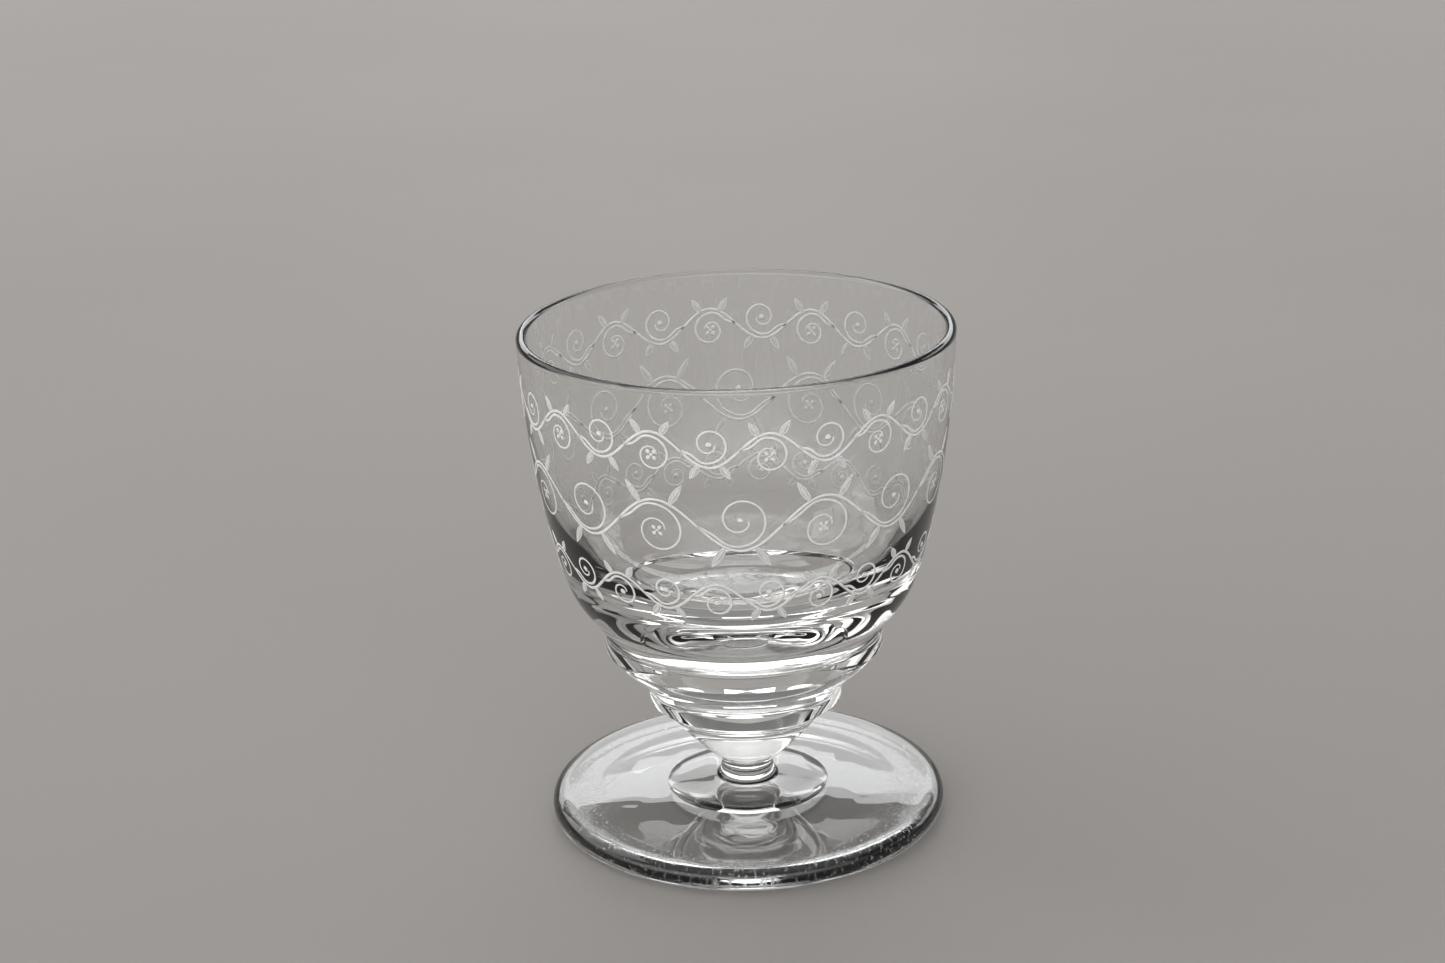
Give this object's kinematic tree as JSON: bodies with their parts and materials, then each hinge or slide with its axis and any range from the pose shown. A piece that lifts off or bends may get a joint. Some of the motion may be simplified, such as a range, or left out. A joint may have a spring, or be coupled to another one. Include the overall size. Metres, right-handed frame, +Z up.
{
  "type": "shot glass",
  "caption": "Small footed shot glass in clear glass: a rounded open bowl on stacked discs, a very short stem and a round foot, with an etched scrollwork band round the bowl.",
  "frame": {"origin": "centre of the circle that the foot stands on, at the height of the surface under it", "axes": "+Z up along the axis of the glass, +Y away from a viewer in front, +X to that viewer's right"},
  "size_m": [0.05, 0.05, 0.06],
  "materials": {
    "clear_glass": "fire-polished clear glass",
    "etched_glass": "acid-etched matt glass"
  },
  "bodies": {
    "root": {"bowl": "clear_glass", "upper_merese": "clear_glass", "lower_merese": "clear_glass", "stem": "clear_glass", "foot_button": "clear_glass", "foot": "clear_glass"}
  },
  "joints": []
}
